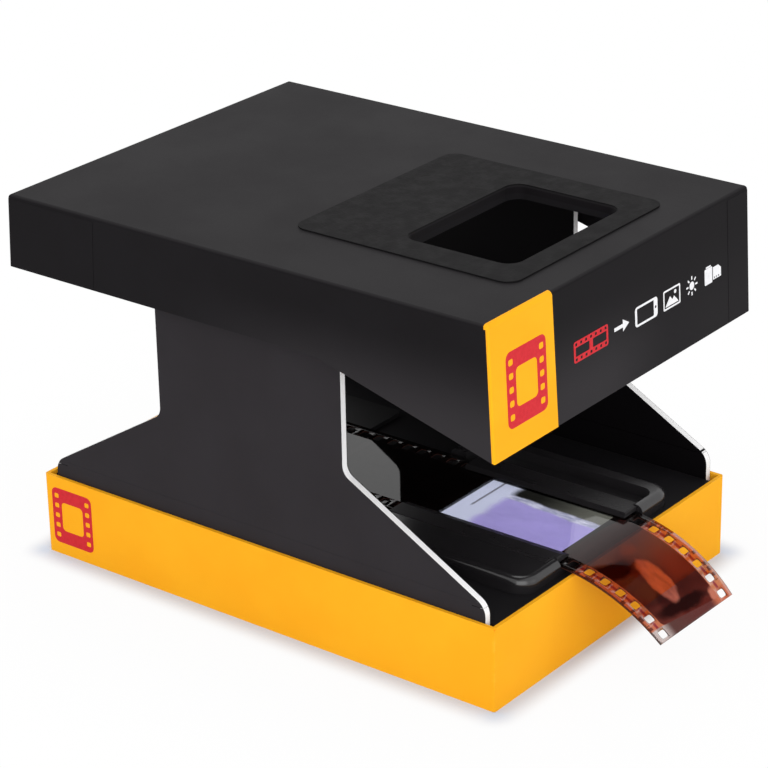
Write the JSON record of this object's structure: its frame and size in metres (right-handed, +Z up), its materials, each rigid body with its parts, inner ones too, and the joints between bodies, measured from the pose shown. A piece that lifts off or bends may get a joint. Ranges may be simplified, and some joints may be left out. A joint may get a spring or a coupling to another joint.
{
  "type": "film negative scanner",
  "caption": "Foldable board stand: tray base with backlit film track, two folding side panels and a lift-off lid with a camera window over the film.",
  "frame": {"origin": "centre of the base tray's underside, on the table", "axes": "+Z up from the table, +Y from the front, where the film comes out, to the back, +X to the right when seen from the front"},
  "size_m": [0.1088, 0.1687, 0.0996],
  "materials": {
    "base_board": "satin",
    "inner_board": "matte",
    "panel_board": "satin",
    "lid_board": "satin",
    "accent_wrap": "satin",
    "pad": "matte",
    "tray_plastic": "satin",
    "guide_plastic": "gloss",
    "diffuser": "frosted",
    "light_box": "matte",
    "screws": "bright",
    "reflector": "gloss",
    "circuit_board": "satin",
    "led": "satin",
    "resistor": "matte",
    "holder_plastic": "matte",
    "battery": "gloss",
    "contact_metal": "bright",
    "switch_plastic": "satin",
    "slider_plastic": "satin",
    "red_wire": "satin",
    "black_wire": "satin",
    "film": "gloss"
  },
  "bodies": {
    "base": {"base_tray": "base_board", "deck_panel": "inner_board", "deck_risers": "inner_board", "left_hinge_strip": "panel_board", "right_hinge_strip": "panel_board", "film_tray": "tray_plastic", "left_film_guide": "guide_plastic", "right_film_guide": "guide_plastic", "diffuser": "diffuser", "light_box": "light_box", "tray_screws": "screws", "reflector": "reflector", "led_board": "circuit_board", "leds": "led", "board_resistors": "resistor", "board_screws": "screws", "battery_holder": "holder_plastic", "front_battery_cell": "battery", "back_battery_cell": "battery", "plate_contacts": "contact_metal", "spring_contacts": "contact_metal", "switch_body": "switch_plastic", "switch_bezel": "switch_plastic", "switch_screws": "screws", "wire_positive": "red_wire", "wire_switched": "red_wire", "wire_negative": "black_wire"},
    "lid": {"lid_shell": "lid_board", "lid_liner": "inner_board", "left_lid_rail": "inner_board", "right_lid_rail": "inner_board", "accent_strip": "accent_wrap", "phone_pad": "pad"},
    "left_panel": {"left_side_panel": "panel_board"},
    "right_panel": {"right_side_panel": "panel_board"},
    "film": {"film_strip": "film"},
    "battery_cover": {"battery_cover": "tray_plastic"},
    "switch_slider": {"switch_slider": "slider_plastic"}
  },
  "joints": [
    {"name": "lid_lift", "type": "slide", "parent": "base", "child": "lid", "axis": [0, 0, 1], "range_m": [0, 0.06]},
    {"name": "left_panel_fold", "type": "hinge", "parent": "base", "child": "left_panel", "pos_m": [-0.0468, 0.0021, 0.0256], "axis": [0, 1, 0], "range_deg": [0, 90]},
    {"name": "right_panel_fold", "type": "hinge", "parent": "base", "child": "right_panel", "pos_m": [0.0468, 0.0021, 0.028], "axis": [0, -1, 0], "range_deg": [0, 90]},
    {"name": "film_feed", "type": "slide", "parent": "base", "child": "film", "axis": [0, -1, 0], "range_m": [0, 0.038]},
    {"name": "battery_cover_slide", "type": "slide", "parent": "base", "child": "battery_cover", "axis": [0, 1, 0], "range_m": [0, 0.01]},
    {"name": "switch_slide", "type": "slide", "parent": "base", "child": "switch_slider", "axis": [1, 0, 0], "range_m": [0, 0.004]}
  ]
}
